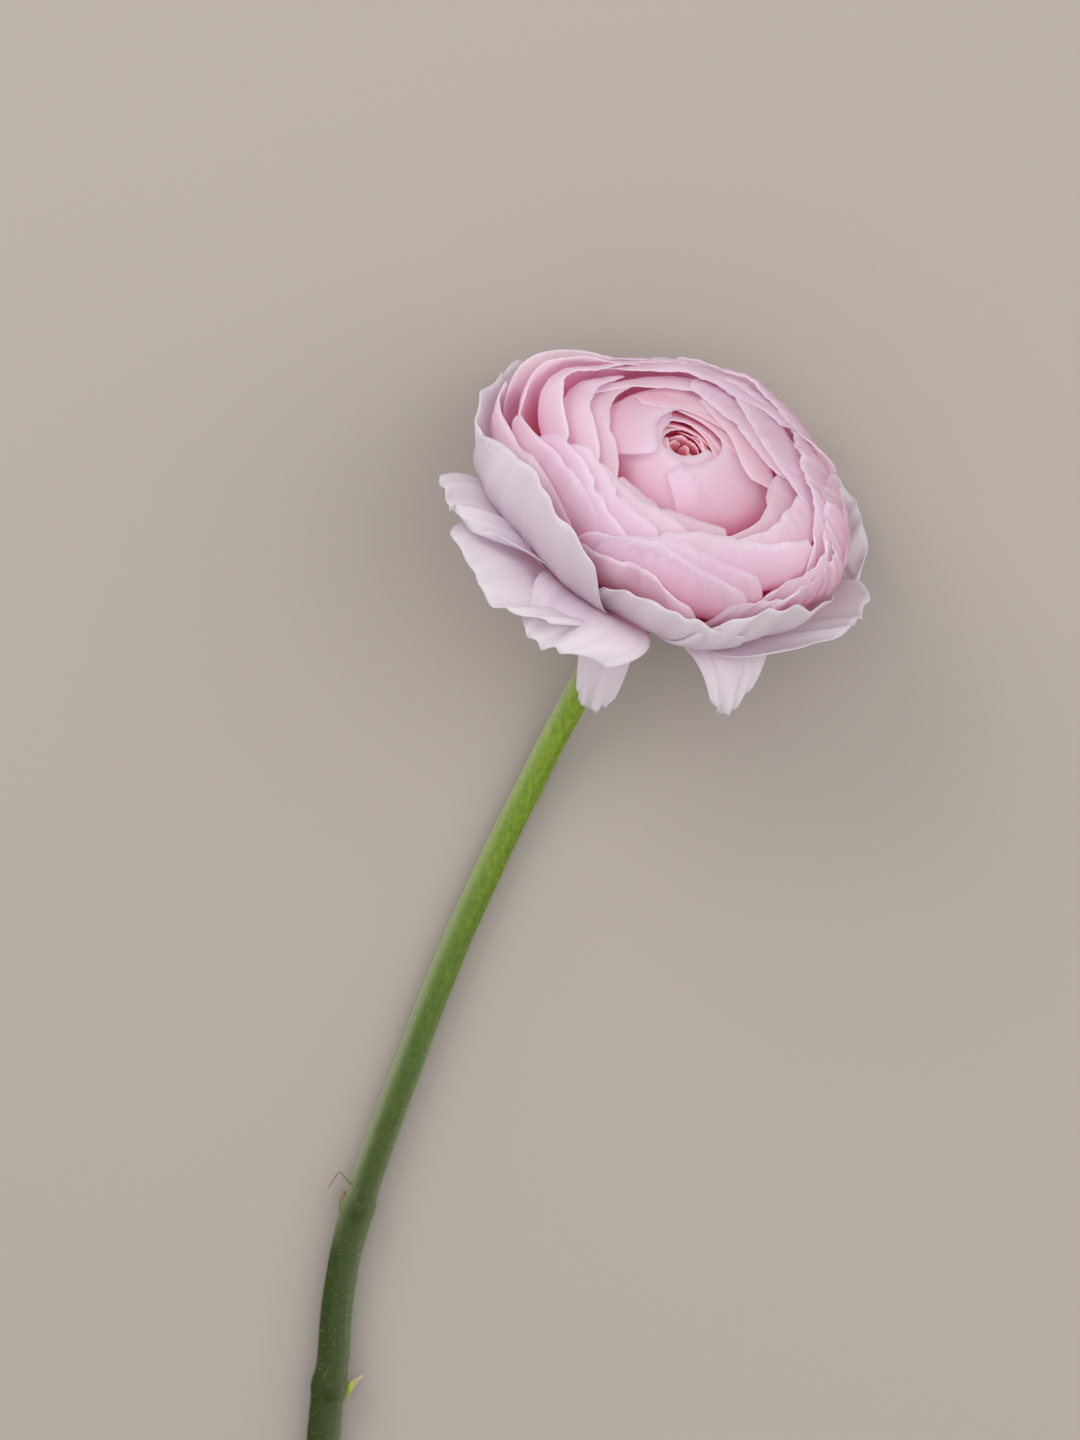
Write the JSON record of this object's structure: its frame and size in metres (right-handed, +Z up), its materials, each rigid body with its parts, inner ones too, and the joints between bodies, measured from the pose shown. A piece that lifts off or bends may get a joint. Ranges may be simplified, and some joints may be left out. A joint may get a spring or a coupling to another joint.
{
  "type": "ranunculus flower",
  "caption": "Cut ranunculus lying on a surface: many layered pale pink petals round a small coral eye, wide outer petals and a curved green stem.",
  "frame": {"origin": "on the surface the flower lies on, under the middle of its bounding box", "axes": "+Z up from the surface, +Y along the stem from the cut end towards the bloom, +X across the stem"},
  "size_m": [0.1058, 0.2261, 0.0557],
  "materials": {
    "heart": "matte",
    "petals": "satin",
    "guard_petals": "satin",
    "sepals": "matte",
    "stem": "satin"
  },
  "bodies": {
    "root": {"heart": "heart", "petals": "petals", "guard_petals": "guard_petals", "sepals": "sepals", "stem": "stem"}
  },
  "joints": []
}
